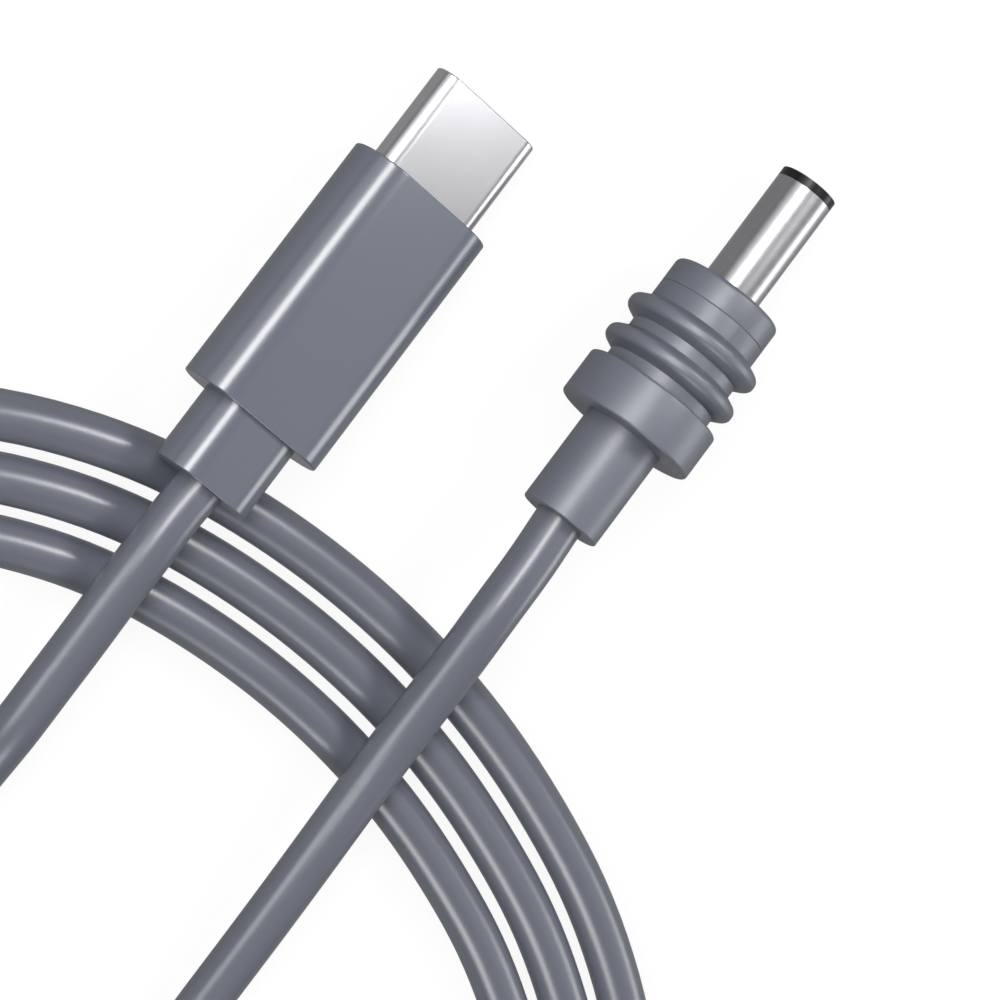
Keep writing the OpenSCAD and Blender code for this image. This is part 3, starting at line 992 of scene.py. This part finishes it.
@dataclass
class DcPlug:
    """The DC plug: body, sealing sleeve, barrel and tip, in millimetres from its neck's rear.

    In the names, l is a length, w a width, t a thickness and d a diameter. An edge is the radius of
    a rounding, the bead holds the barrel in the body and the core is the room for the inner mould.
    """

    neck_l: float = 6.8
    neck_d: float = 5.5
    flange_l: float = 3.2
    flange_d: float = 9.6
    sleeve_l: float = 6.2
    sleeve_d: float = 7.8
    sleeve_wall: float = 0.8
    nose_l: float = 1.8
    rib_count: int = 2
    rib_d: float = 9.7
    rib_w: float = 1.7
    rib_top: float = 0.7
    rib_edge: float = 0.25
    rib_foot: float = 0.2
    rib_first: float = 1.7
    rib_pitch: float = 2.4
    barrel_d: float = 4.0
    barrel_wall: float = 0.3
    barrel_out: float = 8.1
    shank_d: float = 4.4
    bead_d: float = 5.2
    bead_l: float = 1.0
    bead_setback: float = 0.6
    tab_t: float = 0.3
    core_d: float = 4.4
    jacket_end: float = 5.2
    bore_d: float = 3.24
    gap: float = 0.02
    neck_edge: float = 0.1
    flange_edge: float = 0.2
    nose_edge: float = 0.35
    seam: float = 0.06

    INSIDE = {
        "dc_tip_insulator": BLACK_PLASTIC,
        "dc_centre_contact": CONTACT_GOLD,
        "dc_rear_insulator": INNER_MOULD,
        "dc_sleeve_tab": TAB_METAL,
        "dc_positive_wire": POSITIVE_WIRE,
        "dc_negative_wire": NEGATIVE_WIRE,
        "dc_inner_mould": INNER_MOULD,
    }

    @property
    def flange_front(self) -> float:
        """Front face of the flange."""
        return self.neck_l + self.flange_l

    @property
    def sleeve_front(self) -> float:
        """Front end of the sleeve."""
        return self.flange_front + self.sleeve_l

    @property
    def nose_front(self) -> float:
        """Front face of the nose collar."""
        return self.sleeve_front + self.nose_l

    @property
    def metal_front(self) -> float:
        """Front end of the bare metal."""
        return self.nose_front + self.barrel_out

    def body(self) -> None:
        """Makes the moulded body: neck, flange, core and nose collar."""
        core = self.sleeve_d - 2 * self.sleeve_wall
        barrel_rear = self.flange_front + self.bead_setback
        bead_front = barrel_rear + self.bead_l
        washer_rear = barrel_rear - self.tab_t
        bead_hole = self.bead_d + 2 * self.gap
        barrel_hole = self.shank_d + 2 * self.gap
        wire_hole = self.core_d + 2 * self.gap
        rings = [
            *rim(0, self.neck_d, self.neck_d, self.neck_edge, front=False),
            (self.neck_l, self.neck_d, self.neck_d),
            *rim(self.neck_l, self.flange_d, self.flange_d, self.flange_edge, front=False),
            *rim(self.flange_front, self.flange_d, self.flange_d, self.flange_edge, front=True),
            (self.flange_front, core, core),
            (self.sleeve_front, core, core),
            *rim(self.sleeve_front, self.sleeve_d, self.sleeve_d, self.seam, front=False),
            *rim(self.nose_front, self.sleeve_d, self.sleeve_d, self.nose_edge, front=True),
            (self.nose_front, barrel_hole, barrel_hole),
            (bead_front, barrel_hole, barrel_hole),
            (bead_front, bead_hole, bead_hole),
            (washer_rear, bead_hole, bead_hole),
            (washer_rear, wire_hole, wire_hole),
            (self.jacket_end, wire_hole, wire_hole),
            (self.jacket_end, self.bore_d, self.bore_d),
            (0, self.bore_d, self.bore_d),
        ]
        dress(loft("dc_body_skin", rings, DC_PLACE.matrix()), DC_MOULDING, ["dc_body"])

    def sleeve(self) -> None:
        """Makes the sleeve with its sealing ribs."""
        hole = self.sleeve_d - 2 * self.sleeve_wall + 2 * self.gap
        foot = self.sleeve_d - 2 * self.rib_foot
        rings = [
            *rim(self.flange_front, self.sleeve_d, self.sleeve_d, self.seam, front=False),
            *rim(self.sleeve_front, self.sleeve_d, self.sleeve_d, self.seam, front=True),
            (self.sleeve_front, hole, hole),
            (self.flange_front, hole, hole),
        ]
        slope = (self.rib_w - self.rib_top) / (self.rib_d - self.sleeve_d)
        shoulder = rim(0, self.rib_d, self.rib_d, self.rib_edge, front=True)
        front = [
            (self.rib_top / 2 + x + (self.rib_d - wide) / 2 * slope, wide, wide)
            for x, wide, _ in shoulder
        ]
        front.append((self.rib_w / 2 + self.rib_foot * slope, foot, foot))
        rib_rings = [(-x, wide, wide) for x, wide, _ in reversed(front)] + front
        sleeve = loft("dc_sealing_sleeve", rings, Matrix.Identity(4))
        rib = loft("rib", rib_rings, Matrix.Identity(4))
        values = {
            "Rib": rib,
            "Count": self.rib_count,
            "First": self.flange_front + self.rib_first,
            "Pitch": self.rib_pitch,
        }
        ribbed = apply_tree(sleeve, rib_tree(), values, DC_MOULDING)
        bpy.data.objects.remove(rib)
        ribbed.data.transform(DC_PLACE.matrix())
        dress(ribbed, DC_MOULDING, ["dc_seal_sleeve"])

    def barrel(self) -> None:
        """Makes the barrel with its bead."""
        rear = self.flange_front + self.bead_setback
        bead_front = rear + self.bead_l
        hole = self.barrel_d - 2 * self.barrel_wall
        rings = [
            (rear, self.bead_d, self.bead_d),
            (bead_front, self.bead_d, self.bead_d),
            (bead_front, self.shank_d, self.shank_d),
            (self.nose_front, self.shank_d, self.shank_d),
            (self.nose_front, self.barrel_d, self.barrel_d),
            (self.metal_front, self.barrel_d, self.barrel_d),
            (self.metal_front, hole, hole),
            (rear, hole, hole),
        ]
        dress(loft("dc_barrel_skin", rings, DC_PLACE.matrix()), BARREL_METAL, ["dc_barrel"])

    def inside(self, frame: dict[str, Any]) -> None:
        """Finishes the tip and the pieces inside the plug.

        Args:
            frame: The loaded frame.
        """
        for node, finish in self.INSIDE.items():
            coat_node(frame, node, finish)

    def build(self, frame: dict[str, Any]) -> None:
        """Makes and finishes the whole plug.

        Args:
            frame: The loaded frame.
        """
        self.body()
        self.sleeve()
        self.barrel()
        self.inside(frame)


def main() -> None:
    """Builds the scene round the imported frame."""
    logging.basicConfig(level=logging.INFO, format="%(name)s: %(message)s")
    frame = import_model()
    Studio().build()
    Cable().build()
    UsbPlug().build(frame)
    DcPlug().build(frame)


if __name__ == "__main__":
    main()
